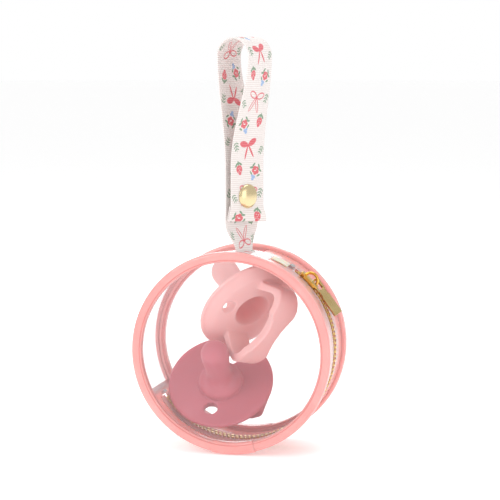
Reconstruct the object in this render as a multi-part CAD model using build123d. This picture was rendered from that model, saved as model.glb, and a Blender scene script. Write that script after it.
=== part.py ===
from build123d import *
import math
import os

# Round zip case with a ribbon wrist strap, holding two one-piece silicone soothers.
# Drum coordinates while building: the drum's axis is Y, its front face looks towards -Y.
# Clock angles run clockwise from the top, seen from the front. All sizes in millimetres.

# Drum
RIM_R = 43.0            # outside of the rim bindings
RIM_W = 4.4             # radial width of a rim
RIM_DEPTH = 4.4         # length of a rim along the drum's axis
RIM_ROUND = 1.3
DRUM_DEPTH = 42.0       # face to face, over the rims
PANEL_T = 0.6
PANEL_RECESS = 0.9      # panel below the face of its rim
PANEL_TUCK = 1.8        # how far the panel goes into the rim
GUSSET_R = RIM_R - 1.7  # outside of the gusset sheet
SHEET_T = 0.5           # gusset sheet and zip tape
GROOVE = 0.8            # how far a sheet's edge goes into the rim
SEAM_GAP = 0.3          # air between the two halves, and between pieces that slide
SEAM_STRIP = 4.0        # degrees that the clear and pink sheets' joint covers
SEAM_UNDER = 1.5        # degrees of it over the pink sheet

# Clock angles of the gusset
PINK_START = 12.5
PINK_END = 241.0
ZIP_START = 35.0
ZIP_END = 236.5
SPLIT_Y = 3.0           # where the unzipped stretch of the gusset folds
EAR_GAP = 0.5           # degrees between the chain's end and the gusset's front half
TAPE_START_AT = 20.5    # the tape's cut end, sewn on the gusset
TAPE_START_END = 31.0
TOP_STOP_AT = 31.4
TOP_STOP_END = 34.0
STOP_HALF = 2.2         # half a stop's width, across both tapes
STOP_T = 1.0
LABEL_AT = 8.5
LABEL_END = 20.0
LABEL_T = 0.3
TAB_AT = -1.0           # cut end of the ribbon under the strap's foot
TAB_END = 8.0

# Zip
TOOTH_SLOT = 0.9        # open slot between the two rows
TOOTH_Y = 1.85
TOOTH_LEN = 1.35
TOOTH_T = 1.6
TOOTH_PITCH = 2.4
CHAIN_MARGIN = 1.0      # degrees without teeth at each end of the chain
TAPE_Y = 7.2            # tape's far edge from the middle
TAPE_SHOW = 0.9         # bare tape beside the teeth
SLIDER_AT = 46.0        # slider's middle, zip closed
SLIDER_LEN = 9.0
SLIDER_W = 6.8
SLIDER_T = 0.8
SLIDER_GAP = 0.5        # plate to teeth
BAIL_W = 1.8
BAIL_H = 2.8
BAIL_T = 0.8
PULL_LEN = 17.0
PULL_W = 5.0
PULL_T = 1.0
PULL_EYE = 4.2          # eye that rides round the bail
PULL_LEAN = 6.0         # pull lies this much inside the tangent

# Strap
RIBBON_W = 18.0
RIBBON_T = 1.0
STRAP_X = 3.0
STRAP_Y = -6.0
STRAP_TURN = 55.0       # ribbon's width direction, from +X towards +Y
LOOP_IN_R = 6.6         # inside radius of the loop's crown
STRAP_TOP = RIM_R + 90.0    # top of the crown above the drum's centre
STRAP_BEND = RIM_R + 35.0
STRAP_FOOT_TOP = RIM_R + 11.0
FLAP_END = RIM_R + 12.5
FOOT_W = 15.8
FOOT_GAP = 1.0          # lets the foot swing clear of the gusset
TAB_T = 0.7
SNAP_Z = RIM_R + 22.5
SNAP_R = 5.0
SNAP_SPACE = 2.6        # strand to strand at the snap

# Soothers
SHIELD_R = 23.0
SHIELD_LIP = 1.6        # how far the shield's edge stands above its middle
LIP_T = 1.9
PLATEAU_R = 17.6
PLATEAU_H = 3.4         # raised middle on the handle's side
NIPPLE_LEN = 28.5
BULB_R = 6.0
NECK_R = 5.2
BASE_R = 9.6
BASE_H = 3.4
MOUTH_R = 8.1
NIPPLE_WALL = 1.7
VENT_R = 3.0
VENT_AT = 13.5
HANDLE_SPAN = 19.6      # half length of the bow
FOOT_AT = 15.6          # outside of the bow's feet, on the raised middle
HANDLE_T = 3.6
LOBE_W = 12.8
KNOT_W = 7.6
ROSE_HANDLE = 15.0      # height of the knot, pressed lower by the back panel
BLUSH_HANDLE = 20.5

FACE_Y = DRUM_DEPTH / 2
RIM_IN_Y = FACE_Y - RIM_DEPTH
GROOVE_Y = RIM_IN_Y + GROOVE
SHEET_IN = GUSSET_R - SHEET_T
TAPE_IN = SHEET_IN - SHEET_T
CHAIN_R = (TAPE_IN + SHEET_IN) / 2
TOOTH_IN = CHAIN_R - TOOTH_T / 2
TOOTH_OUT = CHAIN_R + TOOTH_T / 2
TAPE_EDGE = TOOTH_SLOT / 2 + TOOTH_Y
SHEET_EDGE = TAPE_EDGE + TAPE_SHOW
PATCH_T = 0.4
PATCH_R = GUSSET_R + PATCH_T
CROWN_R = LOOP_IN_R + RIBBON_T / 2
CROWN_Z = STRAP_TOP - LOOP_IN_R - RIBBON_T
HANG = Pos(-STRAP_X, -STRAP_Y, -(CROWN_Z + LOOP_IN_R))


def degrees_of(length, radius):
    return math.degrees(length / radius)


def swept(profile, start, end):
    """Turn a profile (radius, y) round the drum's axis between two clock angles."""
    a = math.radians(start)
    plane = Plane((0, 0, 0), x_dir=(math.sin(a), 0, math.cos(a)), z_dir=(-math.cos(a), 0, math.sin(a)))
    return revolve(plane * profile, axis=Axis.Y, revolution_arc=end - start)


def band(r_in, r_out, y0, y1, start=0.0, end=360.0):
    """A stretch of a ring round the drum's axis."""
    profile = Pos((r_in + r_out) / 2, (y0 + y1) / 2) * Rectangle(r_out - r_in, y1 - y0)
    return swept(profile, start, end)


def at_clock(angle, radius, y, shape):
    """Place a shape, drawn at the top with +Z outwards, at a clock angle."""
    return Rot(0, angle, 0) * Pos(0, y, radius) * shape


def both_sides(front):
    return mirror(front, about=Plane.XZ)


def save(name, shape):
    placed = HANG * shape
    solids = placed.solids()
    if len(solids) > 1:
        placed = Compound(children=solids)
    placed.label = name
    export_step(placed, f"parts/{name}.step")


# ---- drum -------------------------------------------------------------------

def panel_front():
    y = -FACE_Y + PANEL_RECESS
    return band(0, RIM_R - RIM_W + PANEL_TUCK, y, y + PANEL_T)


JOINT_LEN = 19.0        # overlap where the rim binding's ends meet, at the bottom
JOINT_AT = 178.0
JOINT_T = 0.35
JOINT_HALF = degrees_of(JOINT_LEN / 2, RIM_R)


def rim_profile(extra):
    rim = RectangleRounded(RIM_W + 2 * extra, RIM_DEPTH + 2 * extra, RIM_ROUND)
    return Pos(RIM_R - RIM_W / 2, -FACE_Y + RIM_DEPTH / 2) * rim


def gusset_groove():
    return band(SHEET_IN, GUSSET_R, -GROOVE_Y, -RIM_IN_Y + 1)


def rim_front():
    whole = swept(rim_profile(0), JOINT_AT + JOINT_HALF, JOINT_AT - JOINT_HALF + 360)
    return whole - panel_front() - gusset_groove()


def rim_joint_front():
    sleeve = swept(rim_profile(JOINT_T), JOINT_AT - JOINT_HALF, JOINT_AT + JOINT_HALF)
    return sleeve - panel_front() - gusset_groove()


def pink_front():
    zipped = band(SHEET_IN, GUSSET_R, -GROOVE_Y, -SHEET_EDGE, PINK_START, PINK_END)
    top_ear = band(SHEET_IN, GUSSET_R, -SHEET_EDGE, SPLIT_Y, PINK_START, ZIP_START)
    end_ear = band(SHEET_IN, GUSSET_R, -SHEET_EDGE, SPLIT_Y, ZIP_END + EAR_GAP, PINK_END)
    return zipped + top_ear + end_ear


def pink_back():
    zipped = band(SHEET_IN, GUSSET_R, SHEET_EDGE, GROOVE_Y, ZIP_START, ZIP_END)
    top_ear = band(SHEET_IN, GUSSET_R, SPLIT_Y + SEAM_GAP, GROOVE_Y, PINK_START, ZIP_START)
    end_ear = band(SHEET_IN, GUSSET_R, SPLIT_Y + SEAM_GAP, GROOVE_Y, ZIP_END, PINK_END)
    return zipped + top_ear + end_ear


def clear_front():
    return band(SHEET_IN, GUSSET_R, -GROOVE_Y, SPLIT_Y, PINK_END, PINK_START + 360)


def clear_back():
    return band(SHEET_IN, GUSSET_R, SPLIT_Y + SEAM_GAP, GROOVE_Y, PINK_END, PINK_START + 360)


def seam_strip(y0, y1):
    return band(GUSSET_R, PATCH_R, y0, y1, PINK_END - SEAM_UNDER, PINK_END - SEAM_UNDER + SEAM_STRIP)


# ---- zip --------------------------------------------------------------------

def tape_front():
    return band(TAPE_IN, SHEET_IN, -TAPE_Y, -TAPE_EDGE, ZIP_START, ZIP_END)


def teeth_front():
    step = degrees_of(TOOTH_PITCH, CHAIN_R)
    count = int((ZIP_END - ZIP_START - 2 * CHAIN_MARGIN) / step)
    tooth = Box(TOOTH_LEN, TOOTH_Y, TOOTH_T)
    y = -(TOOTH_SLOT + TOOTH_Y) / 2
    row = [at_clock(ZIP_START + CHAIN_MARGIN + step * (i + 0.5), CHAIN_R, y, tooth) for i in range(count)]
    return Compound(children=row)


def teeth_back():
    return both_sides(teeth_front())


def tape_start():
    return band(GUSSET_R, PATCH_R, -TAPE_Y + 1.5, SPLIT_Y - 0.4, TAPE_START_AT, TAPE_START_END)


def top_stop():
    return band(GUSSET_R, GUSSET_R + STOP_T, -STOP_HALF, STOP_HALF, TOP_STOP_AT, TOP_STOP_END)


def bottom_stop():
    start = ZIP_END + 0.9
    return band(TOOTH_IN, SHEET_IN, -STOP_HALF, STOP_HALF, start, start + 1.9)


PLATE_IN = TOOTH_OUT + SLIDER_GAP
PLATE_OUT = PLATE_IN + SLIDER_T
SLIDER_HALF = degrees_of(SLIDER_LEN / 2, PLATE_IN)
BAIL_START = SLIDER_AT - SLIDER_HALF * 0.6
BAIL_END = SLIDER_AT + SLIDER_HALF * 0.8
BAIL_LEG = 1.2          # degrees
PULL_AT = SLIDER_AT + 1.6
PULL_PIN_R = PLATE_OUT + PULL_T


def slider():
    start = SLIDER_AT - SLIDER_HALF
    end = SLIDER_AT + SLIDER_HALF
    half = SLIDER_W / 2
    under = TOOTH_IN - SLIDER_GAP
    top = band(PLATE_IN, PLATE_OUT, -half, half, start, end)
    bottom = band(under - SLIDER_T, under, -half, half, start, end)
    post_y = TOOTH_SLOT / 2 - 0.2
    post = band(under, PLATE_IN, -post_y, post_y, start + 0.4, start + 2.6)
    return top + bottom + post


def bail():
    outer = band(PLATE_OUT, PLATE_OUT + BAIL_H, -BAIL_W / 2, BAIL_W / 2, BAIL_START, BAIL_END)
    roof = PLATE_OUT + BAIL_H - BAIL_T
    window = band(PLATE_OUT, roof, -BAIL_W, BAIL_W, BAIL_START + BAIL_LEG, BAIL_END - BAIL_LEG)
    return outer - window


def pull_tab():
    plate = Pos(PULL_LEN / 2, 0) * RectangleRounded(PULL_LEN + PULL_T, PULL_W, 1.4)
    window = Pos((PULL_T + PULL_EYE) / 2, 0) * Rectangle(PULL_EYE, BAIL_W + 0.9)
    flat = extrude(plate - window, PULL_T / 2, both=True)
    return at_clock(PULL_AT, PULL_PIN_R, 0, Rot(0, PULL_LEAN, 0) * flat)


# ---- label and strap ----------------------------------------------------------

def label():
    return band(GUSSET_R, GUSSET_R + LABEL_T, -RIM_IN_Y + 0.8, SPLIT_Y - 0.6, LABEL_AT, LABEL_END)


def strap_tab():
    half = FOOT_W / 2 + 0.3
    return band(GUSSET_R, GUSSET_R + TAB_T, STRAP_Y - half, STRAP_Y + half, TAB_AT, TAB_END)


TURN = math.radians(STRAP_TURN)
WIDTH_DIR = (math.cos(TURN), math.sin(TURN), 0)
LOOP_DIR = (math.sin(TURN), -math.cos(TURN), 0)
LOOP = Plane((STRAP_X, STRAP_Y, 0), x_dir=LOOP_DIR, z_dir=(-WIDTH_DIR[0], -WIDTH_DIR[1], 0))
SNAP_S = (SNAP_SPACE + RIBBON_T) / 2
HINGE_R = GUSSET_R + TAB_T
HINGE_Z = math.sqrt(HINGE_R**2 - STRAP_X**2)
FOOT_Z = HINGE_Z + FOOT_GAP


def ribbon(points):
    """A flat ribbon across the loop's plane, along centre points (across, height)."""
    half = RIBBON_T / 2
    outline = [(s - half, z) for s, z in points] + [(s + half, z) for s, z in reversed(points)]
    face = LOOP * make_face(Polyline(*outline, close=True))
    return extrude(face, RIBBON_W / 2, both=True)


def snap_axis(shape, s):
    """Place a shape drawn along +Z so that it looks outwards along the loop's direction."""
    x = STRAP_X + LOOP_DIR[0] * s
    y = STRAP_Y + LOOP_DIR[1] * s
    return Plane((x, y, SNAP_Z), x_dir=WIDTH_DIR, z_dir=LOOP_DIR) * shape


def disc(radius, height, start):
    return Pos(0, 0, start + height / 2) * Cylinder(radius, height)


POST_R = 1.2            # the snap's posts, through the ribbon
CAP_RIM_T = 0.4
CAP_RISE = 1.6          # dome above the cap's rim
SOCKET_R = 4.2
SOCKET_T = 1.5
SOCKET_HOLE_R = 2.2
BASE_PLATE_R = 3.8      # stud and rivet plates
STUD_R = 1.9
STUD_T = 0.5
STUD_RISE = 1.6
RIVET_T = 0.6


def back_strand():
    points = [(-CROWN_R, CROWN_Z), (-SNAP_S, STRAP_BEND), (-SNAP_S, STRAP_FOOT_TOP)]
    hole = snap_axis(disc(POST_R, 2 * RIBBON_T, -RIBBON_T), -SNAP_S)
    return ribbon(points) - hole


def crown():
    ring = Circle(CROWN_R + RIBBON_T / 2) - Circle(CROWN_R - RIBBON_T / 2)
    top = ring & Pos(0, CROWN_R) * Rectangle(4 * CROWN_R, 2 * CROWN_R)
    return extrude(LOOP * Pos(0, CROWN_Z) * top, RIBBON_W / 2, both=True)


def front_strand():
    points = [(CROWN_R, CROWN_Z), (SNAP_S, STRAP_BEND), (SNAP_S, FLAP_END)]
    hole = snap_axis(disc(POST_R, 2 * RIBBON_T, -RIBBON_T), SNAP_S)
    return ribbon(points) - hole


def strap_foot():
    s = -SNAP_S
    x = STRAP_X + LOOP_DIR[0] * s
    y = STRAP_Y + LOOP_DIR[1] * s
    top = Plane((x, y, STRAP_FOOT_TOP), x_dir=WIDTH_DIR, z_dir=(0, 0, 1)) * Rectangle(RIBBON_W, RIBBON_T)
    low = Plane((STRAP_X, STRAP_Y, FOOT_Z), x_dir=(0, 1, 0), z_dir=(0, 0, 1)) * Rectangle(FOOT_W, RIBBON_T)
    return loft([low.face(), top.face()], ruled=True)


def snap_cap():
    s = SNAP_S + RIBBON_T / 2
    dome_r = (SNAP_R**2 + CAP_RISE**2) / (2 * CAP_RISE)
    top = CAP_RIM_T + CAP_RISE
    dome = Pos(0, 0, top - dome_r) * Sphere(dome_r) & disc(SNAP_R, top, CAP_RIM_T)
    rim = disc(SNAP_R, CAP_RIM_T, 0)
    post = disc(POST_R, RIBBON_T, -RIBBON_T)
    return snap_axis(dome + rim + post, s)


def snap_socket():
    ring = disc(SOCKET_R, SOCKET_T, -SOCKET_T) - disc(SOCKET_HOLE_R, SOCKET_T - 0.2, -SOCKET_T)
    return snap_axis(ring, SNAP_S - RIBBON_T / 2)


def snap_stud():
    plate = disc(BASE_PLATE_R, STUD_T, 0)
    nub = disc(STUD_R, STUD_RISE, STUD_T)
    return snap_axis(plate + nub, -SNAP_S + RIBBON_T / 2)


def snap_rivet():
    flange = disc(BASE_PLATE_R, RIVET_T, -RIVET_T)
    post = disc(POST_R, RIBBON_T, 0)
    return snap_axis(flange + post, -SNAP_S - RIBBON_T / 2)


# ---- soothers -----------------------------------------------------------------

def soother_profile():
    """Half section (radius, height): nipple up, hollow inside, shield with a raised middle."""
    bulb_z = NIPPLE_LEN - BULB_R
    neck_z = NIPPLE_LEN * 0.42
    side = BULB_R * math.sin(math.radians(45))
    tip = (0, NIPPLE_LEN)
    bulb = (BULB_R, bulb_z)
    waist = (BASE_R - 2.2, BASE_H + 1.4)
    base_side = (BASE_R, BASE_H * 0.55)
    base_foot = (BASE_R - 0.5, 0.2)
    lip_in = (SHIELD_R - 1.2, SHIELD_LIP)
    lip_edge = (SHIELD_R, SHIELD_LIP - LIP_T / 2)
    lip_low = (SHIELD_R - 1.2, SHIELD_LIP - LIP_T)
    plateau = (PLATEAU_R, -PLATEAU_H + 0.5)
    crest = ((PLATEAU_R + MOUTH_R) / 2, -PLATEAU_H)
    mouth = (MOUTH_R, -PLATEAU_H + 0.1)
    dish = ((BASE_R + SHIELD_R) / 2, 0.5)
    flange = ((PLATEAU_R + SHIELD_R) / 2, -PLATEAU_H / 2 + 0.4)
    throat_r = NECK_R - NIPPLE_WALL
    dome_z = NIPPLE_LEN - NIPPLE_WALL
    with BuildSketch() as sketch:
        with BuildLine():
            ThreePointArc(tip, (side, bulb_z + side), bulb)
            Spline(bulb, (NECK_R, neck_z), waist, tangents=((0, -1), (1, -0.55)))
            ThreePointArc(waist, base_side, base_foot)
            ThreePointArc(base_foot, dish, lip_in)
            ThreePointArc(lip_in, lip_edge, lip_low)
            ThreePointArc(lip_low, flange, plateau)
            ThreePointArc(plateau, crest, mouth)
            Line(mouth, (MOUTH_R - 1.4, 0))
            Line((MOUTH_R - 1.4, 0), (throat_r, neck_z * 0.7))
            Line((throat_r, neck_z * 0.7), (throat_r, dome_z - throat_r))
            Line((throat_r, dome_z - throat_r), (throat_r * 0.5, dome_z - 0.5))
            Line((throat_r * 0.5, dome_z - 0.5), (0, dome_z - 0.5))
            Line((0, dome_z - 0.5), tip)
        make_face()
    return sketch.sketch


def handle(height):
    """Bow-shaped arch band below the shield, its long way along Y; height is the knot's outside."""
    foot = (FOOT_AT, -PLATEAU_H + 0.9)
    side = (HANDLE_SPAN - 1.2, -0.46 * height)
    shoulder = (HANDLE_SPAN, -0.68 * height)
    top = (HANDLE_SPAN - 4.5, -0.9 * height)
    dip = (HANDLE_SPAN * 0.4, -0.965 * height)
    outer = [foot, side, shoulder, top, dip, (0, -height)]
    inner = [(foot[0] - HANDLE_T, foot[1]), (side[0] - HANDLE_T, side[1] + 0.6),
             (shoulder[0] - HANDLE_T, shoulder[1] + 0.8), (top[0] - 1.6, top[1] + HANDLE_T * 0.8),
             (dip[0], dip[1] + HANDLE_T), (0, -height + HANDLE_T)]
    outer_all = outer + [(-y, z) for y, z in reversed(outer[:-1])]
    inner_all = inner + [(-y, z) for y, z in reversed(inner[:-1])]
    with BuildSketch() as arch:
        with BuildLine():
            Spline(*outer_all)
            Spline(*inner_all)
            Line(outer_all[0], inner_all[0])
            Line(outer_all[-1], inner_all[-1])
        make_face()
    band_solid = extrude(Plane.YZ * arch.sketch, LOBE_W, both=True)
    half = LOBE_W / 2
    reach = HANDLE_SPAN + 2.2
    with BuildSketch() as lobe:
        with BuildLine():
            Spline((KNOT_W / 2, 0), (half, reach * 0.5), (half - 0.6, reach * 0.75), (0, reach),
                   tangents=((0, 1), (-1, 0)))
            Spline((0, reach), (-half + 0.6, reach * 0.75), (-half, reach * 0.5), (-KNOT_W / 2, 0),
                   tangents=((-1, 0), (0, -1)))
            Line((-KNOT_W / 2, 0), (KNOT_W / 2, 0))
        make_face()
    loop = extrude(lobe.sketch, 2 * height, both=True)
    return band_solid & (loop + mirror(loop, about=Plane.XZ))


def soother(handle_height):
    body = revolve(Plane.XZ * soother_profile(), axis=Axis.Z, revolution_arc=360)
    vents = [Pos(x, 0, 0) * Cylinder(VENT_R, 14) for x in (-VENT_AT, VENT_AT)]
    return body + handle(handle_height) - vents


def placed_soother(handle_height, middle, nipple_dir, vent_dir):
    up = Vector(*nipple_dir).normalized()
    across = up.cross(Vector(*vent_dir)).cross(up).normalized()
    return Plane(middle, x_dir=across, z_dir=up) * soother(handle_height)


ROSE_AT = (-9.5, 3.2, -17.1)
ROSE_NIPPLE = (0.05, -0.73, 0.682)
ROSE_VENTS = (-0.186, -0.671, -0.711)
BLUSH_AT = (3.67, -0.37, 17.64)
BLUSH_NIPPLE = (-0.6, 0.56, 0.57)
BLUSH_VENTS = (0.552, 0.807, -0.211)


def main():
    os.makedirs("parts", exist_ok=True)
    save("front_panel", panel_front())
    save("back_panel", both_sides(panel_front()))
    save("front_rim", rim_front())
    save("back_rim", both_sides(rim_front()))
    save("front_rim_joint", rim_joint_front())
    save("back_rim_joint", both_sides(rim_joint_front()))
    save("pink_gusset_front", pink_front())
    save("pink_gusset_back", pink_back())
    save("clear_gusset_front", clear_front())
    save("clear_gusset_back", clear_back())
    save("gusset_seam_front", seam_strip(-RIM_IN_Y, SPLIT_Y - 0.1))
    save("gusset_seam_back", seam_strip(SPLIT_Y + SEAM_GAP + 0.1, RIM_IN_Y))
    save("zip_tape_front", tape_front())
    save("zip_tape_back", both_sides(tape_front()))
    save("zip_tape_start", tape_start())
    save("zip_teeth_front", teeth_front())
    save("zip_teeth_back", teeth_back())
    save("zip_top_stop", top_stop())
    save("zip_bottom_stop", bottom_stop())
    save("zip_slider", slider())
    save("slider_bail", bail())
    save("pull_tab", pull_tab())
    save("label", label())
    save("strap_tab", strap_tab())
    save("strap_foot", strap_foot())
    save("strap_back_strand", back_strand())
    save("strap_crown", crown())
    save("strap_front_strand", front_strand())
    save("snap_cap", snap_cap())
    save("snap_socket", snap_socket())
    save("snap_stud", snap_stud())
    save("snap_rivet", snap_rivet())
    save("rose_soother", placed_soother(ROSE_HANDLE, ROSE_AT, ROSE_NIPPLE, ROSE_VENTS))
    save("blush_soother", placed_soother(BLUSH_HANDLE, BLUSH_AT, BLUSH_NIPPLE, BLUSH_VENTS))


main()
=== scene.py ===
import math

import bpy
from mathutils import Matrix, Vector


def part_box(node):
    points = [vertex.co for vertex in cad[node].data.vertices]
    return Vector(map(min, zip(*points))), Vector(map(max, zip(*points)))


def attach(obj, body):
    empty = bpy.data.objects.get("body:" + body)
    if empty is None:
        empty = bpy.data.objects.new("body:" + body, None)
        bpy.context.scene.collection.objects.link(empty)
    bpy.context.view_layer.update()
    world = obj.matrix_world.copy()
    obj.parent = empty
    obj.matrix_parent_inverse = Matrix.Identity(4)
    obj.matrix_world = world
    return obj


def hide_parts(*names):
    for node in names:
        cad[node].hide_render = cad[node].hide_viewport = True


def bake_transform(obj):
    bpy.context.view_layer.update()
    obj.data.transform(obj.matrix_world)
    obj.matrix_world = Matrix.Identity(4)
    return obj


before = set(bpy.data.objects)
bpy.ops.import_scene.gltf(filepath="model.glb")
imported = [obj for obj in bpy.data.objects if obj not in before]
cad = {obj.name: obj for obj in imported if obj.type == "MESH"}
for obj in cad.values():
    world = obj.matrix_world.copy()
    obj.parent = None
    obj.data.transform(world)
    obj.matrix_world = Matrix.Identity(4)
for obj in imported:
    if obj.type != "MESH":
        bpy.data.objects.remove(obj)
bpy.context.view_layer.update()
bpy.ops.object.select_all(action="DESELECT")

# ---- Studio ------------------------------------------------------------------
# A white table top and a white room with large soft lamps, and a long lens.
# The case stands on the table with its strap held up straight, as for sale.

MM = 0.001
panel_front, panel_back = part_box("front_panel"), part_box("back_panel")
drum = Vector(((panel_front[0].x + panel_front[1].x) / 2,
               (panel_front[0].y + panel_back[1].y) / 2,
               (panel_front[0].z + panel_front[1].z) / 2))
CAMERA_AZIMUTH = math.radians(12.64)
CAMERA_HEIGHT = math.radians(6.34)
CAMERA_DISTANCE = 862.6 * MM
AIM_RIGHT = 4.0 * MM
AIM_UP = 41.4 * MM
FOCAL_LENGTH = 144           # millimetres, as the sensor's width is
SENSOR_WIDTH = 36
ROOM_LIGHT, ROOM_SEEN = 0.72, 1.0        # how bright the room lights things, and looks itself
LAMPS = (                    # name, place from the drum's middle in metres, size in metres, watts
    ("key_lamp", (-0.55, -0.75, 0.55), 0.5, 3.0),
    ("fill_lamp", (0.75, -0.55, 0.25), 0.6, 1.2),
    ("top_lamp", (0.1, 0.15, 0.85), 0.6, 2.5),
    ("back_lamp", (-0.3, 0.8, 0.35), 0.6, 2.0))
TABLE_RADIUS = 6             # metres
TABLE_GAP = 0.2 * MM         # below the lowest rim joint
TABLE_GLOW = 0.32
TABLE_TONES = (0.90, 0.93)

toward = Vector((math.sin(CAMERA_AZIMUTH) * math.cos(CAMERA_HEIGHT),
                 -math.cos(CAMERA_AZIMUTH) * math.cos(CAMERA_HEIGHT),
                 math.sin(CAMERA_HEIGHT)))
right = Vector((math.cos(CAMERA_AZIMUTH), math.sin(CAMERA_AZIMUTH), 0))
up = toward.cross(right)
lens = bpy.data.cameras.new("camera")
lens.lens = FOCAL_LENGTH
lens.sensor_width = SENSOR_WIDTH
lens.clip_start = 0.01
camera = bpy.data.objects.new("camera", lens)
bpy.context.scene.collection.objects.link(camera)
camera.matrix_world = Matrix((right, up, toward)).transposed().to_4x4()
camera.location = drum + toward * CAMERA_DISTANCE + right * AIM_RIGHT + up * AIM_UP
bpy.context.scene.camera = camera
bpy.context.scene.view_settings.view_transform = "Standard"


def node(tree, kind, inputs=None, **settings):
    """Add a shader node, set its options, and fill or link its inputs."""
    made = tree.nodes.new("ShaderNode" + kind)
    for name, value in settings.items():
        setattr(made, name, value)
    for socket, value in (inputs or {}).items():
        if isinstance(value, bpy.types.NodeSocket):
            tree.links.new(value, made.inputs[socket])
        else:
            made.inputs[socket].default_value = value
    return made


def finish_material(name, **sockets):
    """A new material, its node tree and its Principled shader with the given plain values."""
    made = bpy.data.materials.new(name)
    made.use_nodes = True
    shader = made.node_tree.nodes["Principled BSDF"]
    for socket, value in sockets.items():
        shader.inputs[socket.replace("_", " ")].default_value = value
    return made, made.node_tree, shader


def colour(red, green, blue):
    """A colour given as on a paint card, 0 to 255, for a shader socket."""
    parts = [c / 255 for c in (red, green, blue)]
    return [c / 12.92 if c <= 0.04045 else ((c + 0.055) / 1.055) ** 2.4 for c in parts] + [1.0]


room = bpy.data.worlds.new("white_room")
room.use_nodes = True
bpy.context.scene.world = room
sky = room.node_tree
back_light = sky.nodes["Background"]
back_light.inputs["Color"].default_value = (1.0, 1.0, 1.0, 1.0)
seen = node(sky, "LightPath").outputs["Is Camera Ray"]
strength = node(sky, "MapRange", {"Value": seen, "To Min": ROOM_LIGHT, "To Max": ROOM_SEEN})
sky.links.new(strength.outputs["Result"], back_light.inputs["Strength"])

for lamp_name, offset, size, power in LAMPS:
    lamp = bpy.data.lights.new(lamp_name, "AREA")
    lamp.size = size
    lamp.energy = power
    lit = bpy.data.objects.new(lamp_name, lamp)
    lit.visible_camera = False
    bpy.context.scene.collection.objects.link(lit)
    lit.location = drum + Vector(offset)
    lit.rotation_euler = (drum - lit.location).to_track_quat("-Z", "Y").to_euler()

floor_z = min(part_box("front_rim_joint")[0].z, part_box("back_rim_joint")[0].z)
bpy.ops.mesh.primitive_circle_add(vertices=96, radius=TABLE_RADIUS, fill_type="NGON",
                                  location=(drum.x, drum.y, floor_z - TABLE_GAP))
floor = bpy.context.object
floor.name = "floor"
table_top, tree, shader = finish_material("table_top", Roughness=0.6, Specular_IOR_Level=0.2,
                                          Emission_Color=(1, 1, 1, 1), Emission_Strength=TABLE_GLOW)
dapple = node(tree, "TexNoise", {"Scale": 3.0})
tone = node(tree, "MapRange", {"Value": dapple.outputs["Fac"],
                               "To Min": TABLE_TONES[0], "To Max": TABLE_TONES[1]})
tree.links.new(tone.outputs["Result"], shader.inputs["Base Color"])
floor.data.materials.append(table_top)


# ---- Clear windows -----------------------------------------------------------
# Two round windows of clear pressed vinyl, about 0.6 mm thick, whose edges are
# welded into the rim bindings. The surface is glossy with a very slight ripple.

CLEAR_TINT = colour(232, 234, 238)
WINDOW_RIPPLE, WINDOW_SHINE = 45.0, 0.06       # ripples in a metre; how much shows face on
GUSSET_RIPPLE, GUSSET_SHINE = 90.0, 0.13
GLANCE_POWER, GLANCE_SHINE = 5.0, 0.85         # how late, and how much, it shines edge on


def clear_sheet(name, ripple, least):
    """Clear vinyl: reflects more at a glancing angle and otherwise lets everything through."""
    made, tree, shader = finish_material(name, Base_Color=CLEAR_TINT, Metallic=1.0, Roughness=0.05)
    edge_on = node(tree, "LayerWeight", {"Blend": 0.5}).outputs["Facing"]
    steep = node(tree, "Math", {0: edge_on, 1: GLANCE_POWER}, operation="POWER")
    shine = node(tree, "Math", {0: steep.outputs[0], 1: GLANCE_SHINE, 2: least},
                 operation="MULTIPLY_ADD")
    tree.links.new(shine.outputs[0], shader.inputs["Alpha"])
    place = node(tree, "TexCoord").outputs["Object"]
    waves = node(tree, "TexNoise", {"Vector": place, "Scale": ripple, "Detail": 2.0})
    bump = node(tree, "Bump", {"Height": waves.outputs["Fac"], "Strength": 0.12, "Distance": 0.5 * MM})
    tree.links.new(bump.outputs["Normal"], shader.inputs["Normal"])
    return made


def dress(material, *names):
    """Give the named parts that keep their shape this finish."""
    for name in names:
        slots = cad[name].data.materials
        if not slots:
            slots.append(material)
        for i in range(len(slots)):
            slots[i] = material


window_vinyl = clear_sheet("window_vinyl", WINDOW_RIPPLE, WINDOW_SHINE)
dress(window_vinyl, "front_panel", "back_panel")
gusset_clear = clear_sheet("gusset_clear", GUSSET_RIPPLE, GUSSET_SHINE)
dress(gusset_clear, "clear_gusset_front", "clear_gusset_back")


# ---- Pink vinyl --------------------------------------------------------------
# The rims are thick glossy bindings of soft pink vinyl folded over the edges of
# window and gusset; the gusset's pink stretch is one thin sheet of the same vinyl.

PINK = colour(243, 178, 173)
PINK_DEEP = colour(236, 150, 146)
# painted shade for the groove of the line pressed round each rim
PINK_GROOVE_SHADE = colour(226, 134, 130)
WELD_R = 39.5 * MM           # radius of the line pressed round each rim
WELD_HALF = 0.35 * MM
SOFT_COLOURS = (1.0, 0.45, 0.4)          # how far red, green and blue travel in the vinyl


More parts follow.
